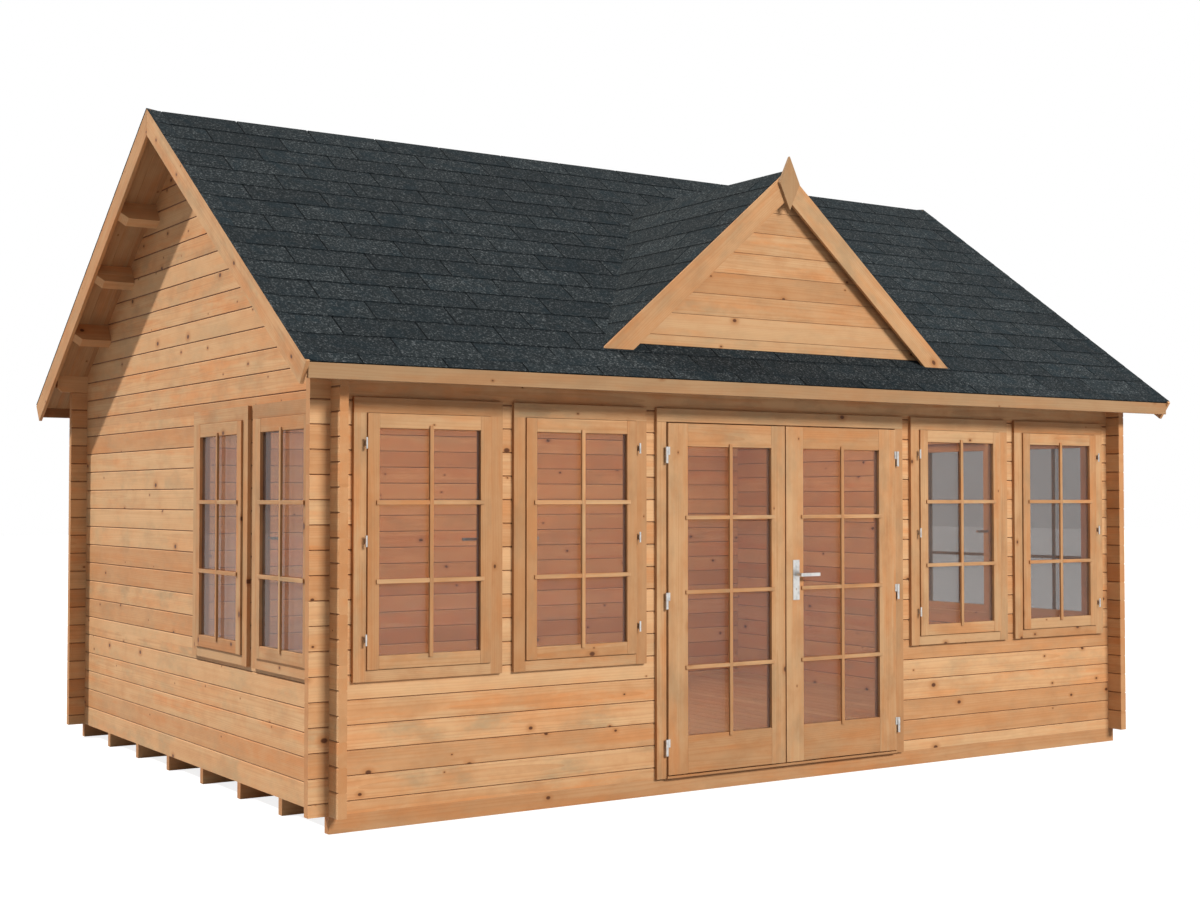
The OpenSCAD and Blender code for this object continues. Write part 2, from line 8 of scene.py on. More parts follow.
import bmesh
import bpy
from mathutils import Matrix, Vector


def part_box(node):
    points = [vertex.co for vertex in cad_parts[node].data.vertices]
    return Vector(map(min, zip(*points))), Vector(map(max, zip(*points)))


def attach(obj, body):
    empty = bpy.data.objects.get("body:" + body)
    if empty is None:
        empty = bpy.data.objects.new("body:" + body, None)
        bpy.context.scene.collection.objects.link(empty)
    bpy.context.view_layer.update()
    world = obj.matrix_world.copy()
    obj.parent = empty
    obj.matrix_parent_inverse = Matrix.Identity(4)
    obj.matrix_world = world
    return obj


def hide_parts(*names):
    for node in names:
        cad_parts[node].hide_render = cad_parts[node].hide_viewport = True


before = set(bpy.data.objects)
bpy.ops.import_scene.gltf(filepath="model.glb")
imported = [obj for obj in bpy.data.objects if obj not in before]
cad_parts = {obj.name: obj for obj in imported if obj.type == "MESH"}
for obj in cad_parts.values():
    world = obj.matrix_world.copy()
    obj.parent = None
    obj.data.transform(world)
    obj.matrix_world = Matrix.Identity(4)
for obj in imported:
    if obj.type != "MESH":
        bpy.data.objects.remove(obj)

LOG = logging.getLogger("cabin")
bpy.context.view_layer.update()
Colour = tuple[float, float, float]
Point = tuple[float, float, float]
Solid = bmesh.types.BMesh
Material = bpy.types.Material
DORMER_PITCH = math.radians(40.6)
X_AXIS, Y_AXIS, Z_AXIS = Vector((1, 0, 0)), Vector((0, 1, 0)), Vector((0, 0, 1))


class Body(Enum):
    """Bodies of the part that a piece can ride on."""

    CABIN = "cabin"
    LEFT_DOOR = "left_door"
    RIGHT_DOOR = "right_door"
    LEVER = "lever"


class Slot(Enum):
    """Material slots of the record."""

    LOG = "log_wood"
    TRIM = "trim_wood"
    JOINERY = "joinery_wood"
    BOARD = "board_wood"
    BEARER = "bearer_wood"
    SHINGLE = "shingle"
    GLASS = "glass"
    METAL = "hardware"


class Side(Enum):
    """Slopes of a roof, by the sign of the direction in which they fall."""

    LOW = -1
    HIGH = 1


class Value:
    """A shader socket that takes part in Python arithmetic."""

    def __init__(self, shade: "Shade", socket: bpy.types.NodeSocket) -> None:
        """Keeps the socket and the material it belongs to."""
        self.shade = shade
        self.socket = socket

    def _math(self, operation: str, first: object, second: object = 0.0) -> "Value":
        """Adds one Math node over two operands."""
        return self.shade.node("ShaderNodeMath", {"operation": operation}, {0: first, 1: second})

    def __add__(self, other: object) -> "Value":
        """Sum."""
        return self._math("ADD", self, other)

    def __radd__(self, other: object) -> "Value":
        """Reflected sum."""
        return self._math("ADD", other, self)

    def __sub__(self, other: object) -> "Value":
        """Difference."""
        return self._math("SUBTRACT", self, other)

    def __rsub__(self, other: object) -> "Value":
        """Reflected difference."""
        return self._math("SUBTRACT", other, self)

    def __mul__(self, other: object) -> "Value":
        """Product."""
        return self._math("MULTIPLY", self, other)

    def __rmul__(self, other: object) -> "Value":
        """Reflected product."""
        return self._math("MULTIPLY", other, self)

    def __truediv__(self, other: object) -> "Value":
        """Quotient."""
        return self._math("DIVIDE", self, other)

    def __pow__(self, other: object) -> "Value":
        """Power."""
        return self._math("POWER", self, other)

    def fract(self) -> "Value":
        """Part after the decimal point."""
        return self._math("FRACT", self)

    def above(self, edge: object) -> "Value":
        """One where the value passes edge, else zero."""
        return self._math("GREATER_THAN", self, edge)

    def ease(self, low: object, high: object) -> "Value":
        """Smooth step from zero at low to one at high."""
        inputs = {"Value": self, "From Min": low, "From Max": high}
        return self.shade.node("ShaderNodeMapRange", {"interpolation_type": "SMOOTHSTEP"}, inputs)


class Shade:
    """Node tree of one material or of the world."""

    def __init__(self, owner: bpy.types.ID) -> None:
        """Empties the owner's node tree."""
        owner.use_nodes = True
        self.owner = owner
        self.tree = owner.node_tree
        self.tree.nodes.clear()

    def node(
        self,
        kind: str,
        settings: dict[str, object] | None = None,
        inputs: dict[object, object] | None = None,
        output: object = 0,
    ) -> Value:
        """Adds a node.

        Args:
            kind: Blender's name of the node type.
            settings: properties of the node, set before its sockets.
            inputs: values or links by socket name or place.
            output: name or place of the wanted output.

        Returns:
            The wanted output.
        """
        node = self.tree.nodes.new(kind)
        for name, value in (settings or {}).items():
            setattr(node, name, value)
        for key, value in (inputs or {}).items():
            if isinstance(value, Value):
                self.tree.links.new(value.socket, node.inputs[key])
            else:
                node.inputs[key].default_value = value
        outputs = node.outputs
        return Value(self, outputs[output]) if len(outputs) else Value(self, node.inputs[0])

    def attribute(self, name: str, output: str = "Fac") -> Value:
        """Reads a named attribute of the mesh."""
        return self.node("ShaderNodeAttribute", {"attribute_name": name}, output=output)

    def place(self) -> tuple[Value, Value, Value]:
        """Object coordinates, one by one."""
        return self.split(self.node("ShaderNodeTexCoord", output="Object"))

    def split(self, vector: Value) -> tuple[Value, Value, Value]:
        """Parts of a vector or colour."""
        first = self.node("ShaderNodeSeparateXYZ", None, {0: vector})
        return tuple(Value(self, out) for out in first.socket.node.outputs)

    def join(self, x: object, y: object, z: object) -> Value:
        """Vector from three parts."""
        return self.node("ShaderNodeCombineXYZ", None, {0: x, 1: y, 2: z})

    def noise(self, at: Value, seed: object, scale: float, detail: float, rough: float = 0.5) -> Value:
        """Noise around one half, with a seed that tells boards apart."""
        inputs = {"Vector": at, "W": seed, "Scale": scale, "Detail": detail, "Roughness": rough}
        return self.node("ShaderNodeTexNoise", {"noise_dimensions": "4D"}, inputs)

    def dice(self, seed: Value) -> tuple[Value, Value, Value]:
        """Three random values that belong to a seed."""
        settings = {"noise_dimensions": "1D"}
        return self.split(self.node("ShaderNodeTexWhiteNoise", settings, {"W": seed}, "Color"))

    def mix(self, share: object, first: object, second: object) -> Value:
        """Mixes two colours or links by the share of the second."""
        pair = [value if isinstance(value, Value) else (*value, 1.0) for value in (first, second)]
        return self.node("ShaderNodeMix", {"data_type": "RGBA"}, {0: share, 6: pair[0], 7: pair[1]}, 2)

    def bump(self, height: Value, strength: float, distance: float) -> Value:
        """Normal from a height."""
        inputs = {"Height": height, "Strength": strength, "Distance": distance}
        return self.node("ShaderNodeBump", None, inputs, "Normal")

    def surface(self, **sockets: object) -> Material:
        """Closes the tree with a Principled shader.

        Args:
            sockets: values or links by socket name, with _ for a space.

        Returns:
            The finished material.
        """
        named = {key.replace("_", " "): value for key, value in sockets.items()}
        shader = self.node("ShaderNodeBsdfPrincipled", None, named)
        self.node("ShaderNodeOutputMaterial", None, {"Surface": shader})
        return self.owner


@dataclass(frozen=True)
class Vein:
    """Stretched noise that follows the grain of a board."""

    along: float
    aside: float
    shift: float
    detail: float
    rough: float = 0.5

    def noise(self, shade: Shade, grain: Sequence[Value], board: Value) -> Value:
        """Adds the noise.

        Args:
            shade: the wood's node tree.
            grain: place along, across and into the board.
            board: seed of the board.

        Returns:
            A value around one half.
        """
        run, across, depth = grain
        at = shade.join(run * self.along, across * self.aside, depth * self.aside)
        return shade.noise(at, board + self.shift, 1.0, self.detail, self.rough)


@dataclass(frozen=True)
class WoodFinish:
    """Planed softwood whose grain follows each board."""

    name: str
    heart: Colour = (0.600, 0.318, 0.146)
    pale: Colour = (0.660, 0.400, 0.205)
    warm: Colour = (0.650, 0.282, 0.108)
    grey: Colour = (0.430, 0.292, 0.160)
    late: Colour = (0.440, 0.188, 0.070)
    knot: Colour = (0.105, 0.038, 0.016)
    knot_share: float = 0.50
    spread: float = 0.45
    curl: float = 0.34
    # Strength of the painted shade on the shaded bevel of each joint groove, darkened towards the knot
    # colour.
    seam: float = 0.0
    rings: float = 125.0
    knot_cells: tuple[float, float] = (2.1, 8.0)
    knot_least: float = 0.0035
    knot_range: float = 0.0105
    streak: Vein = Vein(0.7, 20.0, 0.0, 4.0, 0.6)
    fibre: Vein = Vein(6.0, 240.0, 0.0, 2.0)
    drift: Vein = Vein(1.3, 13.0, 31.0, 4.0, 0.6)
    blush: Vein = Vein(3.4, 8.0, 57.0, 4.0, 0.65)
    figure: Vein = Vein(6.0, 10.0, 83.0, 4.0, 0.62)
    wave: Vein = Vein(0.9, 6.0, 11.0, 1.0)

    def shaded(self, name: str, share: float, **changes: float) -> "WoodFinish":
        """Same wood with its colours taken down.

        Args:
            name: name of the new finish.
            share: what is left of the colours.
            changes: other fields that change.

        Returns:
            The darker finish.
        """
        keys = ("heart", "pale", "warm", "grey", "late")
        tones = {key: tuple(part * share for part in getattr(self, key)) for key in keys}
        return replace(self, name=name, **tones, **changes)

    def material(self) -> Material:
        """Builds the wood.

        Returns:
            A material that reads the grain, board and end attributes, and the attribute that marks the joint
            bevels for painted shade.
        """
        shade = Shade(bpy.data.materials.new(self.name))
        grain = shade.split(shade.attribute("grain", "Vector"))
        run, across, depth = grain
        board = shade.attribute("board")
        end = shade.attribute("end")
        seam = shade.attribute("seam")
        first, second, third = shade.dice(board)
        veins = (self.streak, self.fibre, self.drift, self.blush, self.figure, self.wave)
        streak, fibre, drift, blush, figure, wave = (vein.noise(shade, grain, board) for vein in veins)
        aside = across + (first - 0.5) * 0.08
        below = depth + second * 0.05 + 0.015
        radius = (aside * aside + below * below) ** 0.5 + wave * 0.03
        ring = (radius * self.rings).fract().ease(0.45, 0.98)
        tone = shade.mix(streak.ease(0.36, 0.66), self.heart, self.pale)
        tone = shade.mix(drift.ease(0.46, 0.62) * (0.45 + third * 0.55), tone, self.warm)
        tone = shade.mix(blush.ease(0.43, 0.70) * (0.92 - third * 0.5), tone, self.grey)
        tone = shade.mix(figure.ease(0.46, 0.70) * self.curl, tone, self.late)
        tone = shade.mix((1.0 - figure.ease(0.30, 0.50)) * (self.curl + 0.2), tone, self.pale)
        tone = shade.mix(ring * (0.16 + fibre * 0.3), tone, self.late)
        tone = shade.mix((first - 0.35).ease(0.0, 0.65) * self.spread, tone, self.late)
        tone = shade.mix((0.4 - first).ease(0.0, 0.4) * self.spread, tone, self.pale)
        core, halo = self._knots(shade, run, across, board)
        tone = shade.mix(halo * 0.7, tone, self.late)
        tone = shade.mix(core, tone, self.knot)
        tone = shade.mix(end * 0.55, tone, self.late)
        # Painted shade: the marked bevel of each joint groove, which the light hardly reaches, is darkened
        # towards the knot colour.
        tone = shade.mix(seam * self.seam, tone, self.knot)
        height = fibre * 0.5 + streak * 0.3 - core * 0.4 - ring * 0.2
        return shade.surface(
            Base_Color=tone,
            Roughness=0.56 + fibre * 0.22 - core * 0.1,
            Specular_IOR_Level=0.25,
            Normal=shade.bump(height, 0.25, 0.0015),
        )

    def _knots(self, shade: Shade, run: Value, across: Value, board: Value) -> tuple[Value, Value]:
        """Scatters knots over a board.

        Args:
            shade: the wood's node tree.
            run: place along the grain.
            across: place across the grain.
            board: seed of the board.

        Returns:
            The dark cores, and the stained wood round them.
        """
        long, wide = self.knot_cells
        spot = shade.join(run * long + board * 7.3, across * wide + board * 3.1, 0.0)
        settings = {"voronoi_dimensions": "2D"}
        node = {"Vector": spot, "Scale": 1.0, "Randomness": 0.9}
        centre = shade.split(shade.node("ShaderNodeTexVoronoi", settings, node, "Position"))
        chance, size, _ = shade.split(shade.node("ShaderNodeTexVoronoi", settings, node, "Color"))
        here = shade.split(spot)
        along = (here[0] - centre[0]) * (0.7 / long)
        aside = (here[1] - centre[1]) * (1.0 / wide)
        far = (along * along + aside * aside) ** 0.5
        radius = self.knot_least + size * size * self.knot_range
        present = chance.above(1.0 - self.knot_share)
        core = (1.0 - (far / radius).ease(0.55, 1.1)) * present
        halo = (1.0 - (far / radius).ease(0.8, 3.0)) * present
        return core, halo


@dataclass(frozen=True)
class ShingleFinish:
    """Mineral granules on bitumen."""

    name: str = "shingle_granules"
    main: Colour = (0.019, 0.024, 0.026)
    light: Colour = (0.150, 0.163, 0.168)
    dark: Colour = (0.003, 0.004, 0.005)
    cool: Colour = (0.010, 0.019, 0.024)
    granule: float = 90.0
    cloud: float = 9.0

    def material(self) -> Material:
        """Builds the granules.

        Returns:
            A material that varies by tab and by granule, with painted shade where a tab lies under the course
            above and just below that course's edge.
        """
        shade = Shade(bpy.data.materials.new(self.name))
        at = shade.join(*shade.place())
        tab = shade.attribute("board")
        run, _, _ = shade.split(shade.attribute("grain", "Vector"))
        first, second, _ = shade.dice(tab)
        speck = shade.noise(at, tab, self.granule, 2.0, 0.8)
        patch = shade.noise(at, tab, self.cloud, 3.0, 0.65)
        tone = shade.mix(speck.ease(0.52, 0.70) * 0.85, self.main, self.light)
        tone = shade.mix((1.0 - speck.ease(0.30, 0.48)) * 0.9, tone, self.dark)
        tone = shade.mix(patch.ease(0.45, 0.65) * (0.25 + second * 0.4), tone, self.cool)
        tone = shade.mix(first * 0.35, tone, self.dark)
        # Painted shade: the part of a tab under the course above, seen in the slits, goes dark.
        tone = shade.mix(1.0 - run.ease(-0.004, 0.001), tone, self.dark)
        # Painted shade: a band just below the edge of the course above is darkened.
        tone = shade.mix((1.0 - run.ease(0.002, 0.020)) * 0.6, tone, self.dark)
        return shade.surface(
            Base_Color=tone,
            Roughness=0.82 + speck * 0.14,
            Specular_IOR_Level=0.08,
            Normal=shade.bump(speck, 0.5, 0.002),
        )


@dataclass(frozen=True)
class GlassFinish:
    """Faintly smoky panes that veil more at a slant."""

    name: str = "clear_glass"
    tint: Colour = (0.060, 0.054, 0.052)
    smoke: Colour = (0.090, 0.078, 0.074)
    veil: float = 0.33
    slant_veil: float = 0.32
    haze_veil: float = 0.06

    def material(self) -> Material:
        """Builds the glass.

        Returns:
            A see-through material with a clear gloss.
        """
        shade = Shade(bpy.data.materials.new(self.name))
        at = shade.join(*shade.place())
        haze = shade.noise(at, 0.0, 1.7, 2.0)
        slant = shade.node("ShaderNodeLayerWeight", None, {"Blend": 0.5}, "Facing")
        return shade.surface(
            Base_Color=shade.mix(haze, self.tint, self.smoke),
            Roughness=0.02 + haze * 0.03,
            Alpha=self.veil + slant * slant * self.slant_veil + haze * self.haze_veil,
        )


@dataclass(frozen=True)
class MetalFinish:
    """Brushed steel of the fittings."""

    name: str = "brushed_steel"
    bright: Colour = (0.60, 0.59, 0.57)
    dull: Colour = (0.30, 0.295, 0.29)

    def material(self) -> Material:
        """Builds the steel.

        Returns:
            A metal with fine upright brush marks.
        """
        shade = Shade(bpy.data.materials.new(self.name))
        x, y, z = shade.place()
        brush = shade.noise(shade.join(x * 900.0, y * 900.0, z * 30.0), 0.0, 1.0, 2.0)
        stain = shade.noise(shade.join(x, y, z), 3.0, 40.0, 2.0)
        tone = shade.mix(stain.ease(0.4, 0.75) * 0.6, self.bright, self.dull)
        return shade.surface(
            Base_Color=tone,
            Metallic=1.0,
            Roughness=0.30 + brush * 0.2,
            Normal=shade.bump(brush, 0.08, 0.0005),
        )


class Cutter:
    """Cuts copies of the part's solids into boards."""

    @staticmethod
    def of_node(name: str) -> Solid:
        """Copies a node and joins up its faces.

        Args:
            name: name of the node.

        Returns:
            The copy.
        """
        solid = bmesh.new()
        solid.from_mesh(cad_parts[name].data)
        bmesh.ops.remove_doubles(solid, verts=solid.verts[:], dist=2e-5)
        return solid

    @staticmethod
    def block(corners: Sequence[Sequence[float]]) -> Solid:
        """Closed block over eight corners.

        Args:
            corners: four corners of the one end, then the four that face them.

        Returns:
            The block.
        """
        solid = bmesh.new()
        verts = [solid.verts.new(corner) for corner in corners]
        rings = [(3, 2, 1, 0), (4, 5, 6, 7)] + [(i, (i + 1) % 4, (i + 1) % 4 + 4, i + 4) for i in range(4)]
        for ring in rings:
            solid.faces.new([verts[i] for i in ring])
        bmesh.ops.recalc_face_normals(solid, faces=solid.faces[:])
        return solid

    @classmethod
    def box(cls, low: Sequence[float], high: Sequence[float]) -> Solid:
        """Block between two corners.

        Args:
            low: lowest corner.
            high: highest corner.

        Returns:
            The block.
        """
        (x0, y0, z0), (x1, y1, z1) = low, high
        floor = [(x0, y0), (x1, y0), (x1, y1), (x0, y1)]
        return cls.block([(x, y, z0) for x, y in floor] + [(x, y, z1) for x, y in floor])

    @staticmethod
    def keep(solid: Solid, point: Vector, normal: Vector) -> Solid:
        """Copy of what lies on the normal's side of a plane, closed again.

        Args:
            solid: the solid, which stays as it is.
            point: a point of the plane.
            normal: direction of the side that is kept.

        Returns:
            The kept part, which may be empty.
        """
        part = solid.copy()
        everything = part.verts[:] + part.edges[:] + part.faces[:]
        bmesh.ops.bisect_plane(
            part, geom=everything, dist=1e-6, plane_co=point, plane_no=normal, clear_inner=True
        )
        edges = [edge for edge in part.edges if edge.is_boundary]
        if edges:
            bmesh.ops.holes_fill(part, edges=edges, sides=0)
        return part

    @classmethod
    def slice(cls, solid: Solid, normal: Vector, offsets: Iterable[float]) -> list[Solid]:
        """Cuts a solid by parallel planes.

        Args:
            solid: the solid.
            normal: direction across the planes.
            offsets: distances of the planes from the origin.

        Returns:
            The pieces that are left between the planes.
        """
        reach = [vert.co.dot(normal) for vert in solid.verts]
        low, high = min(reach), max(reach)
        pieces, rest = [], solid
        for offset in sorted(offsets):
            if low + 1e-4 < offset < high - 1e-4:
                pieces.append(cls.keep(rest, normal * offset, -normal))
                rest = cls.keep(rest, normal * offset, normal)
        return [piece for piece in pieces + [rest] if len(piece.faces) > 3]

    @staticmethod
    def islands(solid: Solid) -> list[Solid]:
        """Takes a mesh apart.

        Args:
            solid: mesh of one or more solids, which stays as it is.

        Returns:
            The separate solids.
        """
        solid.verts.index_update()
        mark = [-1] * len(solid.verts)
        count = 0
        for start in solid.verts:
            if mark[start.index] >= 0:
                continue
            mark[start.index] = count
            queue = [start]
            while queue:
                vert = queue.pop()
                for edge in vert.link_edges:
                    other = edge.other_vert(vert)
                    if mark[other.index] < 0:
                        mark[other.index] = count
                        queue.append(other)
            count += 1
        found = []
        for number in range(count):
            part = solid.copy()
            part.verts.ensure_lookup_table()
            drop = [vert for vert in part.verts if mark[vert.index] != number]
            bmesh.ops.delete(part, geom=drop, context="VERTS")
            found.append(part)
        return found

    @staticmethod
    def extent(solid: Solid) -> tuple[Vector, Vector]:
        """Lowest and highest corner of a solid."""
        reach = [[vert.co[i] for vert in solid.verts] for i in range(3)]
        return Vector([min(part) for part in reach]), Vector([max(part) for part in reach])


class Timber:
    """Gathers boards into one mesh that knows how the grain runs in each."""

    def __init__(self, name: str) -> None:
        """Starts an empty mesh with its own seeded chance."""
        self.name = name
        self.chance = random.Random(name)
        self.points: list[Vector] = []
        self.faces: list[list[int]] = []
        self.grain: list[float] = []
        self.board: list[float] = []
        self.end: list[float] = []
        self.seam: list[float] = []

    def add(
        self,
        solid: Solid,
        run: Vector | None = None,
        bevel: float = 0.0015,
        seam: int = 0,
        origin: Vector | None = None,
    ) -> None:
        """Adds one board.

        Args:
            solid: the board's solid, which is used up.
            run: direction of the grain, or None for the longest side.
            bevel: width of the softened edges.
            seam: which slanting edge faces take the painted shade of a joint groove, 1 for the upper, -1 for
                the lower, 0 for none.
            origin: where the grain's coordinates start, or None for the board's middle.
        """
        low, high = Cutter.extent(solid)
        if run is None:
            size = high - low
            run = (X_AXIS, Y_AXIS, Z_AXIS)[max(range(3), key=lambda i: size[i])]
        bmesh.ops.dissolve_limit(solid, angle_limit=0.01, verts=solid.verts[:], edges=solid.edges[:])
        if bevel:
            sharp = [e for e in solid.edges if len(e.link_faces) == 2 and e.calc_face_angle(0.0) > 0.5]
            bmesh.ops.bevel(
                solid, geom=sharp, offset=bevel, segments=2, profile=0.6, affect="EDGES", clamp_overlap=True
            )
        solid.normal_update()
        solid.verts.index_update()
        middle = (low + high) / 2 if origin is None else origin
        side = X_AXIS if abs(run.z) > 0.9 else Z_AXIS
        across = (side - run * side.dot(run)).normalized()
        depth = run.cross(across)
        spans = [[vert.co.dot(way) for vert in solid.verts] for way in (across, depth)]
        if max(spans[1]) - min(spans[1]) > max(spans[0]) - min(spans[0]):
            across, depth = depth, across
        start = len(self.points)
        seed = self.chance.uniform(0.0, 100.0)
        for vert in solid.verts:
            self.points.append(vert.co.copy())
            away = vert.co - middle
            self.grain.extend((away.dot(run), away.dot(across), away.dot(depth)))
        for face in solid.faces:
            self.faces.append([start + vert.index for vert in face.verts])
            self.board.append(seed)
            self.end.append(1.0 if abs(face.normal.dot(run)) > 0.8 else 0.0)
            # The bevels marked here are the ones that take painted shade in the joint groove.
            self.seam.append(1.0 if 0.2 < seam * face.normal.dot(across) < 0.97 else 0.0)
        solid.free()

    def build(self, material: Material, body: Body, slot: Slot, *nodes: str) -> bpy.types.Object:
        """Makes the object and hands it to the frame.

        Args:
            material: finish of the piece.
            body: body that the piece rides on.
            slot: material slot of the record, not used.
            nodes: nodes that the piece stands for.

        Returns:
            The object.
        """
        mesh = bpy.data.meshes.new(self.name)
        mesh.from_pydata(self.points, [], self.faces)
        mesh.attributes.new("grain", "FLOAT_VECTOR", "POINT").data.foreach_set("vector", self.grain)
        for key, values in (("board", self.board), ("end", self.end), ("seam", self.seam)):
            mesh.attributes.new(key, "FLOAT", "FACE").data.foreach_set("value", values)
        mesh.materials.append(material)
        mesh.update()
        piece = bpy.data.objects.new(self.name, mesh)
        bpy.context.scene.collection.objects.link(piece)
        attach(piece, body.value)
        if nodes:
            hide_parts(*nodes)
        LOG.info("%s: %d faces on %s", self.name, len(self.faces), body.value)
        return piece


class Finishes:
    """All finishes of the cabin, each built once."""

    def __init__(self) -> None:
        """Builds the materials."""
        # Painted shade darkens the shaded bevel of each joint groove, at 0.8 for the logs and boards, 0.5 for
        # the dormer cladding and none for the rest.
        spruce = WoodFinish("log_spruce", seam=0.8)
        self.log = spruce.material()
        self.trim = spruce.shaded("trim_spruce", 0.97, knot_share=0.45, curl=0.45, seam=0.0).material()
        self.cladding = spruce.shaded("cladding_spruce", 0.80, knot_share=0.35, seam=0.5).material()
        self.dormer = spruce.shaded("dormer_spruce", 0.80, knot_share=0.25, spread=0.3, seam=0.0).material()
        # Painted shade: the fascia's spruce is taken down to about half, standing in for the shade that the
        # eave fascia lies in.
        self.fascia = spruce.shaded("fascia_spruce_painted_shade", 0.54, knot_share=0.30, seam=0.0).material()
        self.joinery = spruce.shaded("joinery_pine", 0.82, knot_share=0.40, curl=0.42, seam=0.0).material()
        self.board = spruce.shaded("board_spruce", 0.72).material()
        self.bearer = spruce.shaded("bearer_spruce", 0.92, knot_share=0.35, seam=0.0).material()
        self.shingle = ShingleFinish().material()
        self.glass = GlassFinish().material()
        self.metal = MetalFinish().material()

    def dress(self, material: Material, *names: str) -> None:
        """Gives nodes that stay as they are a finish.

        Args:
            material: the finish.
            names: the nodes.
        """
        for name in names:
            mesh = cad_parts[name].data
            mesh.materials.clear()
            mesh.materials.append(material)
            LOG.info("%s: kept, dressed in %s", name, material.name)


@dataclass(frozen=True)
class Base:
    """Foundation bearers and floor boards."""

    board_width: float = 0.112
    board_bevel: float = 0.006
    bearer_bevel: float = 0.002

    def build(self, finishes: Finishes) -> None:
        """Builds the base."""
        bearers = Timber("bearer_timbers")
        for solid in Cutter.islands(Cutter.of_node("foundation_bearers")):
            bearers.add(solid, X_AXIS, self.bearer_bevel)
        bearers.build(finishes.bearer, Body.CABIN, Slot.BEARER, "foundation_bearers")
        low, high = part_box("floor_boards")
        count = round((high.x - low.x) / self.board_width)
        step = (high.x - low.x) / count
        floor = Timber("floor_planks")
        cuts = [low.x + step * i for i in range(1, count)]
        for plank in Cutter.slice(Cutter.of_node("floor_boards"), X_AXIS, cuts):
            floor.add(plank, Y_AXIS, self.board_bevel, seam=1)
        floor.build(finishes.board, Body.CABIN, Slot.BOARD, "floor_boards")


@dataclass(frozen=True)
class LogWalls:
    """Walls of crossing logs, cut into their single logs."""

    base: float = 0.082
    course: float = 0.114
    courses: int = 32

    def build(self, finishes: Finishes) -> None:
        """Builds the four walls."""
        joints = [self.base + self.course * i for i in range(self.courses)]
        middles = [z + self.course / 2 for z in joints]
        for name in ("front_wall_lower", "front_wall_piers", "front_wall_upper", "back_wall"):
            self._wall(finishes, name, X_AXIS, middles)
        for side in ("left", "right"):
            for part in ("lower", "piers", "upper"):
                self._wall(finishes, f"{side}_gable_{part}", Y_AXIS, joints)

    def _wall(self, finishes: Finishes, node: str, run: Vector, joints: Sequence[float]) -> None:
        """Cuts one wall node into logs.

        Args:
            finishes: finishes of the cabin.
            node: name of the wall's node.
            run: direction of its logs.
            joints: heights of the joints between them.
        """
        wall = Timber(f"{node}_logs")
        for solid in Cutter.islands(Cutter.of_node(node)):
            for log in Cutter.slice(solid, Z_AXIS, joints):
                wall.add(log, run, bevel=0.0, seam=-1)
        wall.build(finishes.log, Body.CABIN, Slot.LOG, node)


@dataclass(frozen=True)
class Roof:
    """Eave logs, purlins, roof boards and trim of the main roof."""

    pitch: float = math.radians(35.0)
    ridge: float = 3.5934
    board_width: float = 0.0956
    end: float = 2.868
    bevel: float = 0.002
    barge_bevel: float = 0.0025

    def down(self, side: Side) -> Vector:
        """Direction down one slope."""
        return Vector((0.0, side.value * math.cos(self.pitch), -math.sin(self.pitch)))

    def out(self, side: Side) -> Vector:
        """Direction out of one slope."""
        return Vector((0.0, side.value * math.sin(self.pitch), math.cos(self.pitch)))

    def at(self, side: Side, x: float, along: float, lift: float) -> Vector:
        """Point at x, along down a slope from the ridge of the boards' underside and lift above it."""
        return Vector((x, 0.0, self.ridge)) + self.down(side) * along + self.out(side) * lift

    def build(self, finishes: Finishes) -> None:
        """Builds the timber of the roof."""
        for node, slot, material in (
            ("eave_logs", Slot.LOG, finishes.log),
            ("purlins", Slot.LOG, finishes.log),
            # The fascias wear the darker spruce that paints their shade.
            ("eave_fascias", Slot.TRIM, finishes.fascia),
        ):
            bars = Timber(f"{node}_timbers")
            for solid in Cutter.islands(Cutter.of_node(node)):
                bars.add(solid, X_AXIS, self.bevel)
            bars.build(material, Body.CABIN, slot, node)
        count = round(2 * self.end / self.board_width)
        cuts = [-self.end + 2 * self.end * i / count for i in range(1, count)]
        for side, name in ((Side.LOW, "front"), (Side.HIGH, "rear")):
            sheathing = Timber(f"roof_planks_{name}")
            for plank in Cutter.slice(Cutter.of_node(f"roof_boards_{name}"), X_AXIS, cuts):
                sheathing.add(plank, self.down(side), self.bevel)
            sheathing.build(finishes.board, Body.CABIN, Slot.BOARD, f"roof_boards_{name}")
            barge = Timber(f"bargeboards_{name}_boards")
            for solid in Cutter.islands(Cutter.of_node(f"{name}_bargeboards")):
                barge.add(solid, self.down(side), self.barge_bevel)
            barge.build(finishes.trim, Body.CABIN, Slot.TRIM, f"{name}_bargeboards")


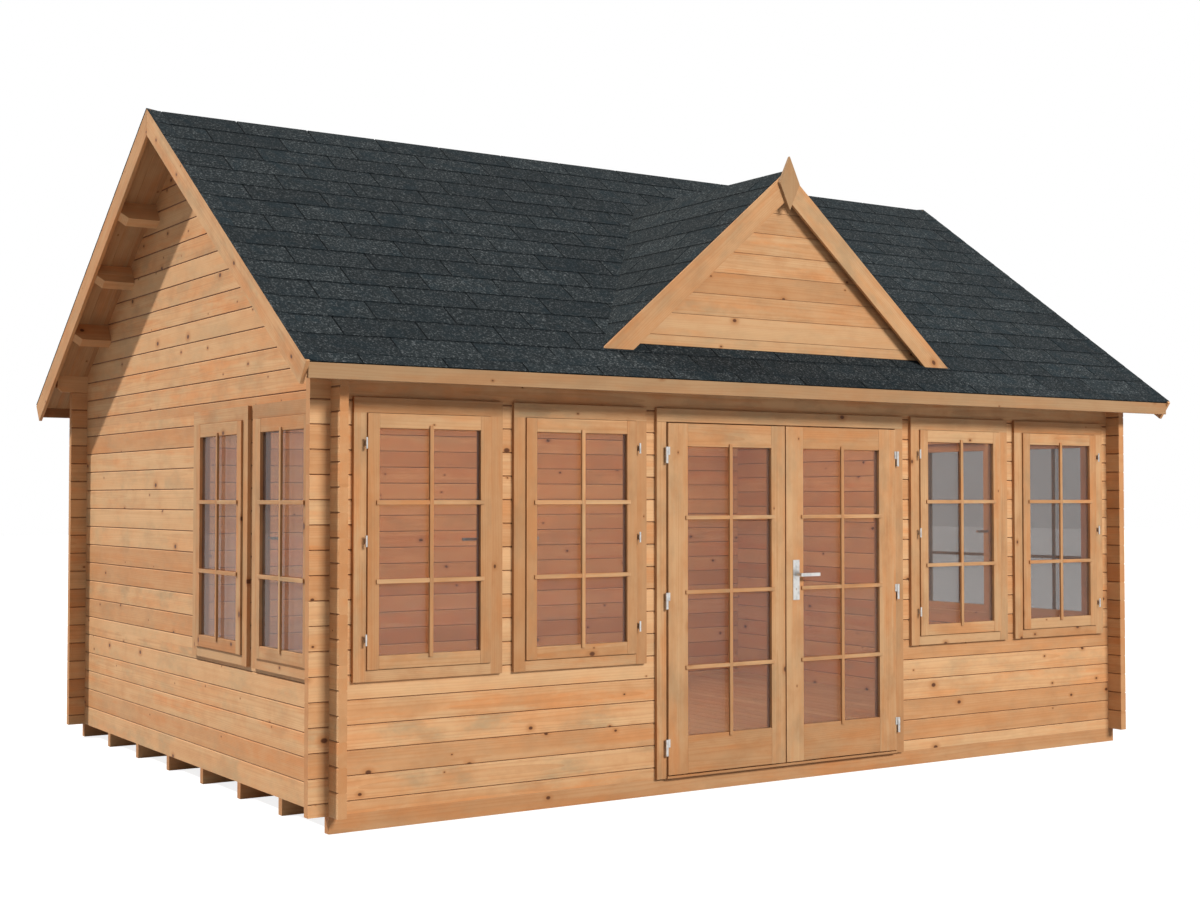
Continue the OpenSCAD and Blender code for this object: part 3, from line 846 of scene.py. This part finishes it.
@dataclass(frozen=True)
class Shingles:
    """Courses of shingle tabs on the main roof and on the dormer."""

    roof: Roof
    exposure: float = 0.1708
    first: float = 0.146
    tab: float = 0.425
    slit: float = 0.008
    eave: float = 2.6167
    starts: tuple[float, float] = (-2.805, -2.608)
    boards: float = 0.0192
    top: float = 0.027
    crest: float = 0.0322
    lap: float = 0.070
    cover: float = 0.0215
    tuck: float = 0.02
    thick: float = 0.0032
    wear: float = 0.0004
    bevel: float = 0.0008
    dormer_pitch: float = DORMER_PITCH

    def build(self, finishes: Finishes) -> None:
        """Builds all tabs."""
        for side, name in ((Side.LOW, "front"), (Side.HIGH, "rear")):
            tabs = Timber(f"shingle_tabs_{name}")
            down = self.roof.down(side)
            for course, low in enumerate(self._edges(self.eave)):
                # The grain starts where the tab comes out from under the course above, which lays out the
                # painted shade of the shingle finish.
                bare = self.roof.at(side, 0.0, self._bare(course, low), self.top)
                for x0, x1 in self._gaps(course, self.roof.end):
                    tabs.add(self._tab(tabs, side, course, low, x0, x1), down, self.bevel, origin=bare)
                for end in (-self.roof.end, self.roof.end):
                    tabs.add(self._verge(side, low, end), down, self.bevel, origin=bare)
            # The grain starts past the eave, so the whole starter strip takes the shingle finish's painted
            # shade and shows dark through the slits.
            covered = self.roof.at(side, 0.0, 2 * self.eave, 0.0)
            tabs.add(self._starter(side), down, 0.0, origin=covered)
            tabs.build(finishes.shingle, Body.CABIN, Slot.SHINGLE, f"roof_covering_{name}")
        finishes.dress(finishes.shingle, "dormer_roof_left", "dormer_roof_right")
        for side, name in ((Side.LOW, "left"), (Side.HIGH, "right")):
            self._dormer(finishes, side, name)

    def _bare(self, course: int, low: float) -> float:
        """Distance down the slope at which a tab comes out from under the course above it."""
        return low - self.exposure - (self.first if course == 0 else 0.0)

    def _edges(self, reach: float) -> list[float]:
        """Distances of the tabs' lower edges down a slope of that reach."""
        count = math.ceil((reach - self.first) / self.exposure)
        return [self.first + self.exposure * i for i in range(count)] + [reach]

    def _gaps(self, course: int, reach: float) -> list[tuple[float, float]]:
        """Ends of the tabs of one course.

        Args:
            course: number of the course from the ridge.
            reach: half length of the course.

        Returns:
            The two ends of each tab.
        """
        start = self.starts[course % 2]
        joints = [start + self.tab * i for i in range(-2, 20)]
        inside = [x for x in joints if -reach + self.tuck < x < reach - self.tuck]
        lows = [-reach] + [x + self.slit / 2 for x in inside]
        highs = [x - self.slit / 2 for x in inside] + [reach]
        return list(zip(lows, highs))

    def _tab(self, tabs: Timber, side: Side, course: int, low: float, x0: float, x1: float) -> Solid:
        """One tab of the main roof, thin at its covered end.

        Args:
            tabs: mesh that the tab goes into.
            side: the slope.
            course: number of the course from the ridge.
            low: distance of the lower edge down the slope.
            x0: one end along the ridge.
            x1: other end.

        Returns:
            The tab.
        """
        at = self.roof.at
        top = self.top + tabs.chance.uniform(-self.wear, self.wear)
        lean = math.tan(self.roof.pitch)
        if course == 0:
            upper, thin = -self.top, (self.top - 0.003, self.top)
        else:
            upper, thin = low - 2 * self.exposure - self.tuck, (self.boards, self.boards + 0.002)
        heads = [max(upper, -lift * lean) for lift in thin]
        corners = []
        for x in (x0, x1):
            corners += [
                at(side, x, heads[0], thin[0]),
                at(side, x, low, top - self.thick),
                at(side, x, low, top),
                at(side, x, heads[1], thin[1]),
            ]
        return Cutter.block(corners)

    def _verge(self, side: Side, low: float, end: float) -> Solid:
        """Strip of one course that laps over a bargeboard.

        Args:
            side: the slope.
            low: distance of the lower edge down the slope.
            end: end of the roof along the ridge.

        Returns:
            The strip.
        """
        lean = math.tan(self.roof.pitch)
        head = low - self.exposure - self.tuck
        inner = (end - math.copysign(self.lap, end), self.top - 0.004)
        outer = (end + math.copysign(self.cover, end), self.crest)
        corners = []
        for x, rise in (inner, outer):
            for covered, more in ((True, 0.0), (False, 0.0005), (False, 0.003), (True, 0.0015)):
                lift = rise + more
                along = max(head, -lift * lean) if covered else low
                corners.append(self.roof.at(side, x, along, lift))
        return Cutter.block(corners)

    def _starter(self, side: Side) -> Solid:
        """Strip under the slits of the lowest course.

        Args:
            side: the slope.

        Returns:
            The strip.
        """
        at, end, deck = self.roof.at, self.roof.end, self.boards
        low, head = self.eave - 0.001, self.eave - 2 * self.exposure
        lifts = ((head, deck - 0.0002), (low, deck), (low, deck + 0.003), (head, deck + 0.0005))
        return Cutter.block([at(side, x, along, lift) for x in (-end, end) for along, lift in lifts])

    def _dormer(self, finishes: Finishes, side: Side, name: str) -> None:
        """Builds the tabs of one dormer slope.

        Args:
            finishes: finishes of the cabin.
            side: the slope.
            name: the slope's name.
        """
        low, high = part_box(f"dormer_roof_{name}")
        down = Vector((side.value * math.cos(self.dormer_pitch), 0.0, -math.sin(self.dormer_pitch)))
        out = Vector((side.value * math.sin(self.dormer_pitch), 0.0, math.cos(self.dormer_pitch)))
        peak = Vector((0.0, 0.0, high.z))
        reach = max(abs(low.x), abs(high.x)) / math.cos(self.dormer_pitch)
        main = self.roof.at(Side.LOW, 0.0, 0.0, self.top - 0.001)
        lean = math.tan(self.dormer_pitch)
        tabs = Timber(f"dormer_tabs_{name}")
        for course, edge in enumerate(self._edges(reach)):
            start = low.y + 0.19 * (1 + course % 2)
            joints = [low.y] + [start + self.tab * i for i in range(6)]
            for y0, y1 in zip(joints, joints[1:]):
                head = max(edge - self.exposure - 0.015, 0.0)
                ends = []
                for y in (y0 + (self.slit / 2 if y0 > low.y else 0.0), min(y1 - self.slit / 2, high.y)):
                    shift = Vector((0.0, y, 0.0))
                    crest = (-0.0005 * lean, -0.001 * lean) if course == 0 else (head, head)
                    ends += [
                        peak + shift + down * crest[0] + out * 0.0002,
                        peak + shift + down * edge + out * 0.0004,
                        peak + shift + down * edge + out * 0.0036,
                        peak + shift + down * crest[1] + out * 0.0012,
                    ]
                solid = Cutter.keep(Cutter.block(ends), main, self.roof.out(Side.LOW))
                # The grain start lays out the shingle finish's painted shade, as on the main roof.
                bare = peak + down * self._bare(course, edge)
                if len(solid.faces) > 3:
                    tabs.add(solid, down, 0.0, origin=bare)
        tabs.build(finishes.shingle, Body.CABIN, Slot.SHINGLE)


@dataclass(frozen=True)
class Dormer:
    """Cladding, bargeboards and finial of the dormer."""

    pitch: float = DORMER_PITCH
    joint: float = 2.361
    board_step: float = 0.1165
    boards: int = 10
    board_bevel: float = 0.003
    barge_bevel: float = 0.0025

    def build(self, finishes: Finishes) -> None:
        """Builds the dormer's timber."""
        cladding = Timber("dormer_cladding_boards")
        joints = [self.joint + self.board_step * i for i in range(self.boards)]
        for board in Cutter.slice(Cutter.of_node("dormer_cladding"), Z_AXIS, joints):
            cladding.add(board, X_AXIS, self.board_bevel, seam=-1)
        cladding.build(finishes.cladding, Body.CABIN, Slot.TRIM, "dormer_cladding")
        for side, name in ((Side.LOW, "left"), (Side.HIGH, "right")):
            run = Vector((side.value * math.cos(self.pitch), 0.0, -math.sin(self.pitch)))
            node = f"dormer_bargeboard_{name}"
            barge = Timber(f"{node}_board")
            barge.add(Cutter.of_node(node), run, self.barge_bevel)
            barge.build(finishes.dormer, Body.CABIN, Slot.TRIM, node)
        finial = Timber("dormer_finial_board")
        finial.add(Cutter.of_node("dormer_finial"), Z_AXIS, self.barge_bevel)
        # The finial wears the same darker copy that paints the fascia's shade.
        finial.build(finishes.fascia, Body.CABIN, Slot.TRIM, "dormer_finial")


@dataclass(frozen=True)
class BarGrid:
    """Glazing bars laid on the face of one sash, drawn in width, height and depth."""

    bar: float = 0.020
    lap: float = 0.016
    proud: float = 0.008
    sunk: float = 0.005
    bevel: float = 0.0018

    def bars(
        self, width: tuple[float, float], height: tuple[float, float], rows: Sequence[float], front: float
    ) -> list[tuple[Point, Point, bool]]:
        """Lists the bars of a pane.

        Args:
            width: edges of the glass across.
            height: edges of the glass up.
            rows: heights of the level bars.
            front: depth of the sash face.

        Returns:
            Low corner, high corner and whether the bar stands upright.
        """
        middle, half, lap = sum(width) / 2, self.bar / 2, self.lap
        outer, inner = front - self.proud, front + self.sunk
        found = [((middle - half, outer, height[0] - lap), (middle + half, inner, height[1] + lap), True)]
        for z in rows:
            for x0, x1 in ((width[0] - lap, middle - half), (middle + half, width[1] + lap)):
                found.append(((x0, outer, z - half), (x1, inner, z + half), False))
        return found


@dataclass(frozen=True)
class Windows:
    """Casement windows with their casings, sashes, bars and panes."""

    inner: float = 0.326
    sash_opening: float = 0.266
    head: float = 1.909
    glass_low: float = 0.793
    glass_high: float = 1.839
    rows: tuple[float, float] = (1.133, 1.496)
    front: float = -0.030
    sash_depth: float = 0.044
    casing_bevel: float = 0.0025
    sash_bevel: float = 0.003
    trace: float = 0.0005

    def build(self, finishes: Finishes) -> None:
        """Builds all windows."""
        frames = Timber("window_casings")
        sashes = Timber("window_sash_frames")
        bars = Timber("window_bars")
        for solid in Cutter.islands(Cutter.of_node("window_frames")):
            wide, middle = self._lie(solid)
            rest, head = Cutter.slice(solid, Z_AXIS, (self.head - self.trace,))
            half = self.inner - self.trace
            left, foot, right = Cutter.slice(rest, wide, (middle - half, middle + half))
            for piece, run in ((head, wide), (left, Z_AXIS), (foot, wide), (right, Z_AXIS)):
                frames.add(piece, run, self.casing_bevel)
        for solid in Cutter.islands(Cutter.of_node("window_sashes")):
            wide, middle = self._lie(solid)
            low, _ = Cutter.extent(solid)
            half = self.sash_opening - self.trace
            for piece in Cutter.slice(solid, wide, (middle - half, middle + half)):
                for part in Cutter.islands(piece):
                    sashes.add(part, None, self.sash_bevel)
            self._bars(bars, wide, middle, low)
        frames.build(finishes.joinery, Body.CABIN, Slot.JOINERY, "window_frames")
        sashes.build(finishes.joinery, Body.CABIN, Slot.JOINERY, "window_sashes")
        bars.build(finishes.joinery, Body.CABIN, Slot.JOINERY)
        finishes.dress(finishes.glass, "window_glass")
        finishes.dress(finishes.metal, "window_hinges", "window_handles")

    @staticmethod
    def _lie(solid: Solid) -> tuple[Vector, float]:
        """Finds how a window lies in its wall.

        Args:
            solid: the window's frame or sash.

        Returns:
            Its direction along the wall, and its middle in that direction.
        """
        low, high = Cutter.extent(solid)
        wide = X_AXIS if high.x - low.x > high.y - low.y else Y_AXIS
        return wide, ((low + high) / 2).dot(wide)

    def _bars(self, bars: Timber, wide: Vector, middle: float, low: Vector) -> None:
        """Adds the bars of one sash.

        Args:
            bars: mesh that takes them.
            wide: direction along the wall.
            middle: the sash's middle along the wall.
            low: lowest corner of the sash.
        """
        grid = BarGrid()
        half = self.sash_opening
        listed = grid.bars(
            (middle - half, middle + half), (self.glass_low, self.glass_high), self.rows, self.front
        )
        for first, second, upright in listed:
            if wide == X_AXIS:
                wall = low.y - self.front
                ends = ((first[0], wall + first[1], first[2]), (second[0], wall + second[1], second[2]))
            elif low.x < 0:
                wall = low.x - self.front
                ends = ((wall + first[1], first[0], first[2]), (wall + second[1], second[0], second[2]))
            else:
                wall = low.x + self.sash_depth + self.front
                ends = ((wall - second[1], first[0], first[2]), (wall - first[1], second[0], second[2]))
            bars.add(Cutter.box(*ends), Z_AXIS if upright else wide, grid.bevel)


@dataclass(frozen=True)
class Doors:
    """Glazed double door with its frame."""

    glass: tuple[float, float] = (0.110, 0.665)
    glass_low: float = 0.292
    glass_high: float = 1.784
    rows: tuple[float, float, float] = (0.644, 1.031, 1.416)
    front: float = -1.930
    frame_bevel: float = 0.0025
    leaf_bevel: float = 0.003
    trace: float = 0.0005

    def build(self, finishes: Finishes) -> None:
        """Builds the door frame and both leaves."""
        surround = Timber("door_surround")
        nodes = ("door_jambs", "door_head", "door_sill", "door_stops")
        for node in nodes:
            for solid in Cutter.islands(Cutter.of_node(node)):
                surround.add(solid, None, self.frame_bevel)
        surround.build(finishes.joinery, Body.CABIN, Slot.JOINERY, *nodes)
        for side, name, body in ((Side.LOW, "left", Body.LEFT_DOOR), (Side.HIGH, "right", Body.RIGHT_DOOR)):
            self._leaf(finishes, side, name, body)
            finishes.dress(finishes.glass, f"{name}_door_glass")
            finishes.dress(finishes.metal, f"{name}_door_hinges")
        finishes.dress(finishes.metal, "door_hinge_pins", "door_handle_plates", "door_lever")

    def _leaf(self, finishes: Finishes, side: Side, name: str, body: Body) -> None:
        """Builds one leaf with its bars.

        Args:
            finishes: finishes of the cabin.
            side: side of the door.
            name: name of that side.
            body: body of the leaf.
        """
        node = f"{name}_door_leaf"
        leaf = Timber(f"{node}_frame")
        edges = sorted(side.value * x for x in (self.glass[0] + self.trace, self.glass[1] - self.trace))
        for piece in Cutter.slice(Cutter.of_node(node), X_AXIS, edges):
            for part in Cutter.islands(piece):
                leaf.add(part, None, self.leaf_bevel)
        leaf.build(finishes.joinery, body, Slot.JOINERY, node)
        width = tuple(sorted(side.value * x for x in self.glass))
        bars = Timber(f"{name}_door_bars")
        grid = BarGrid()
        for low, high, upright in grid.bars(width, (self.glass_low, self.glass_high), self.rows, self.front):
            bars.add(Cutter.box(low, high), Z_AXIS if upright else X_AXIS, grid.bevel)
        bars.build(finishes.joinery, body, Slot.JOINERY)


@dataclass(frozen=True)
class Studio:
    """Camera, lights, floor and background."""

    place: Point = (-5.8033, -8.9532, 1.5142)
    yaw: float = math.radians(33.789)
    tilt: float = math.radians(1.680)
    lens: float = 50.4
    shift: tuple[float, float] = (-0.01447, -0.0006)
    ambient: float = 0.23
    sun_from: Point = (-0.51, 0.42, 0.68)
    sun_strength: float = 3.6
    sun_angle: float = math.radians(2.5)
    sun_colour: Colour = (1.0, 0.97, 0.92)
    front_power: float = 4600.0
    front_place: Point = (4.2, -20.0, 10.6)
    front_target: Point = (0.0, -1.9, 1.4)
    front_size: tuple[float, float] = (8.0, 3.6)
    room_power: float = 178.0
    room_place: Point = (0.0, 0.0, 2.6)
    room_target: Point = (0.0, 0.0, 0.0)
    room_size: tuple[float, float] = (5.0, 2.6)
    room_colour: Colour = (1.0, 0.78, 0.58)
    floor_dark: Colour = (0.32, 0.32, 0.32)
    floor_light: Colour = (0.34, 0.34, 0.34)
    floor_lift: Colour = (0.84, 0.84, 0.84)
    floor_reach: float = 60.0

    def build(self) -> None:
        """Builds the studio."""
        scene = bpy.context.scene
        scene.view_settings.view_transform = "Standard"
        self._camera(scene)
        self._world(scene)
        self._lights(scene)
        self._floor(scene)

    def _camera(self, scene: bpy.types.Scene) -> None:
        """Sets the photograph's camera."""
        data = bpy.data.cameras.new("camera")
        data.sensor_width = 36.0
        data.lens = self.lens
        data.shift_x, data.shift_y = self.shift
        data.clip_end = 300.0
        camera = bpy.data.objects.new("camera", data)
        scene.collection.objects.link(camera)
        level = math.cos(self.tilt)
        ahead = Vector((level * math.sin(self.yaw), level * math.cos(self.yaw), math.sin(self.tilt)))
        camera.location = self.place
        camera.rotation_euler = ahead.to_track_quat("-Z", "Y").to_euler()
        scene.camera = camera

    def _world(self, scene: bpy.types.Scene) -> None:
        """Gives an even soft light and a white background."""
        world = bpy.data.worlds.new("studio")
        scene.world = world
        shade = Shade(world)
        seen = self._seen(shade)
        strength = self.ambient + seen * (1.0 - self.ambient)
        white = (1.0, 1.0, 1.0, 1.0)
        light = shade.node("ShaderNodeBackground", None, {"Color": white, "Strength": strength})
        shade.node("ShaderNodeOutputWorld", None, {"Surface": light})

    @staticmethod
    def _seen(shade: Shade) -> Value:
        """One for rays that show the background, straight or through gloss and glass.

        Args:
            shade: node tree that asks.

        Returns:
            One or zero.
        """
        kinds = ("Camera", "Glossy", "Transmission")
        camera, glossy, clear = (shade.node("ShaderNodeLightPath", output=f"Is {kind} Ray") for kind in kinds)
        return (camera + glossy + clear).ease(0.0, 1.0)

    def _lights(self, scene: bpy.types.Scene) -> None:
        """Places the sun behind the left gable and the soft lights in front and in the room."""
        sun = bpy.data.lights.new("sun", "SUN")
        sun.energy = self.sun_strength
        sun.angle = self.sun_angle
        sun.color = self.sun_colour
        lamp = bpy.data.objects.new("sun", sun)
        lamp.rotation_euler = Vector(self.sun_from).to_track_quat("Z", "Y").to_euler()
        scene.collection.objects.link(lamp)
        front = self._panel("soft_front", self.front_place, self.front_target, self.front_size)
        front.data.energy = self.front_power
        room = self._panel("soft_room", self.room_place, self.room_target, self.room_size)
        room.data.energy = self.room_power
        room.data.color = self.room_colour

    @staticmethod
    def _panel(name: str, place: Point, target: Point, size: tuple[float, float]) -> bpy.types.Object:
        """Hangs a soft panel that no ray shows.

        Args:
            name: name of the lamp.
            place: middle of the panel.
            target: point that it faces.
            size: its width and height.

        Returns:
            The lamp.
        """
        soft = bpy.data.lights.new(name, "AREA")
        soft.shape = "RECTANGLE"
        soft.size, soft.size_y = size
        panel = bpy.data.objects.new(name, soft)
        panel.location = place
        panel.rotation_euler = (Vector(place) - Vector(target)).to_track_quat("Z", "Y").to_euler()
        panel.visible_camera = panel.visible_glossy = panel.visible_transmission = False
        bpy.context.scene.collection.objects.link(panel)
        return panel

    def _floor(self, scene: bpy.types.Scene) -> None:
        """Lays the pale floor that takes the shadow."""
        reach = self.floor_reach
        mesh = bpy.data.meshes.new("floor")
        corners = [(-reach, -reach, 0), (reach, -reach, 0), (reach, reach, 0), (-reach, reach, 0)]
        mesh.from_pydata(corners, [], [(0, 1, 2, 3)])
        shade = Shade(bpy.data.materials.new("pale_floor"))
        seen = self._seen(shade)
        grime = shade.noise(shade.join(*shade.place()), 0.0, 0.8, 2.0)
        lift = shade.mix(seen, (0.0, 0.0, 0.0), self.floor_lift)
        mesh.materials.append(
            shade.surface(
                Base_Color=shade.mix(grime, self.floor_dark, self.floor_light),
                Roughness=0.9,
                Emission_Color=lift,
                Emission_Strength=1.0,
            )
        )
        floor = bpy.data.objects.new("floor", mesh)
        scene.collection.objects.link(floor)


def write_sizes() -> None:
    """Brings the view layer up to date."""
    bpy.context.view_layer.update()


def main() -> None:
    """Builds the dressed cabin and its studio in order."""
    logging.basicConfig(level=logging.INFO, format="%(message)s")
    finishes = Finishes()
    Studio().build()
    roof = Roof()
    Base().build(finishes)
    LogWalls().build(finishes)
    roof.build(finishes)
    Shingles(roof).build(finishes)
    Dormer().build(finishes)
    Windows().build(finishes)
    Doors().build(finishes)
    write_sizes()


if __name__ == "__main__":
    main()
